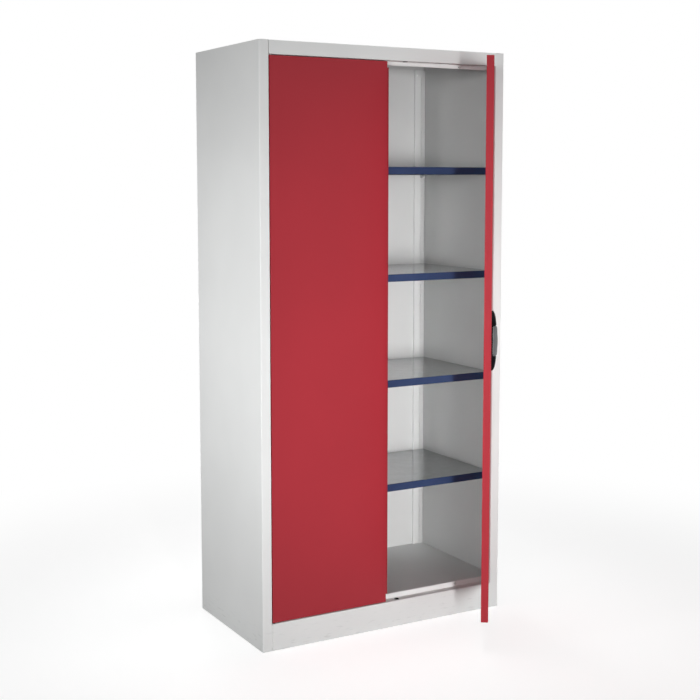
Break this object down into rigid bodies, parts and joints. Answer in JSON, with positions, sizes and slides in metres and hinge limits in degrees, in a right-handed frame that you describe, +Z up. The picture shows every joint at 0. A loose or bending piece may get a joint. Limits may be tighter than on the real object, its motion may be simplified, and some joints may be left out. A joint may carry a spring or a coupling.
{
  "type": "steel storage cabinet",
  "caption": "Free-standing sheet steel cupboard with two hinged doors on concealed pivots, shelves on slotted uprights and a turning handle that works lock rods.",
  "frame": {"origin": "on the floor, at the middle of the plinth's front edge", "axes": "+X to the right seen from the front, +Y to the back, +Z up; the right door stands open at rest"},
  "size_m": [0.93, 0.8373, 1.95],
  "materials": {
    "carcass_paint": "light grey powder coat, fine texture",
    "door_paint": "red powder coat, fine texture",
    "shelf_steel": "galvanised sheet, satin",
    "shelf_edge_blue": "dark blue enamel, semi gloss",
    "zinc_steel": "zinc plated",
    "black_plastic": "moulded, fine grain",
    "lever_plastic": "moulded, fine grain",
    "buffer_rubber": "matt"
  },
  "bodies": {
    "carcass": {"side_panel_left": "carcass_paint", "side_panel_right": "carcass_paint", "back_panel": "carcass_paint", "roof_panel": "carcass_paint", "header_rail": "carcass_paint", "plinth": "carcass_paint", "floor_panel": "carcass_paint", "floor_stiffener": "carcass_paint", "rear_foot_rail": "carcass_paint", "front_upright_left": "carcass_paint", "front_upright_right": "carcass_paint", "rear_upright_left": "carcass_paint", "rear_upright_right": "carcass_paint", "shelf_1": "shelf_steel", "shelf_2": "shelf_steel", "shelf_3": "shelf_steel", "shelf_4": "shelf_steel", "shelf_edge_1": "shelf_edge_blue", "shelf_edge_2": "shelf_edge_blue", "shelf_edge_3": "shelf_edge_blue", "shelf_edge_4": "shelf_edge_blue", "shelf_stiffeners": "shelf_steel", "shelf_clips": "zinc_steel", "hinge_plates": "zinc_steel", "hinge_pins": "zinc_steel", "thrust_washers": "black_plastic", "rod_keepers": "black_plastic", "magnet_catches": "black_plastic", "door_buffers": "buffer_rubber"},
    "left_door": {"left_door_pan": "door_paint", "left_door_stiffener": "door_paint", "left_hinge_blocks": "zinc_steel", "strike_lip": "door_paint"},
    "right_door": {"right_door_pan": "door_paint", "right_door_stiffener": "door_paint", "right_hinge_blocks": "zinc_steel", "handle_base": "black_plastic", "handle_screws": "zinc_steel", "lock_case": "zinc_steel", "rod_guides": "black_plastic"},
    "handle": {"handle_lever": "lever_plastic", "lock_pinion": "zinc_steel"},
    "plug": {"lock_plug": "zinc_steel"},
    "upper_rod": {"upper_lock_rod": "zinc_steel"},
    "lower_rod": {"lower_lock_rod": "zinc_steel"}
  },
  "joints": [
    {"name": "left_door_hinge", "type": "hinge", "parent": "carcass", "child": "left_door", "pos_m": [-0.4225, 0.006, 1], "axis": [0, 0, -1], "range_deg": [0, 110]},
    {"name": "right_door_hinge", "type": "hinge", "parent": "carcass", "child": "right_door", "pos_m": [0.4225, 0.006, 1], "axis": [0, 0, 1], "range_deg": [-54, 56]},
    {"name": "handle_turn", "type": "hinge", "parent": "right_door", "child": "handle", "pos_m": [0.21575, -0.28877, 1.005], "axis": [0.809, -0.5878, 0], "range_deg": [0, 90]},
    {"name": "plug_turn", "type": "hinge", "parent": "handle", "child": "plug", "pos_m": [0.21575, -0.28877, 1.005], "axis": [0.809, -0.5878, 0], "range_deg": [0, 90]},
    {"name": "upper_rod_slide", "type": "slide", "parent": "right_door", "child": "upper_rod", "axis": [0, 0, 1], "range_m": [0, 0.0142]},
    {"name": "lower_rod_slide", "type": "slide", "parent": "right_door", "child": "lower_rod", "axis": [0, 0, -1], "range_m": [0, 0.0142]}
  ],
  "couplings": [
    {"joint": "upper_rod_slide", "follows": "handle_turn", "m_per_rad": 0.009},
    {"joint": "lower_rod_slide", "follows": "handle_turn", "m_per_rad": 0.009}
  ]
}
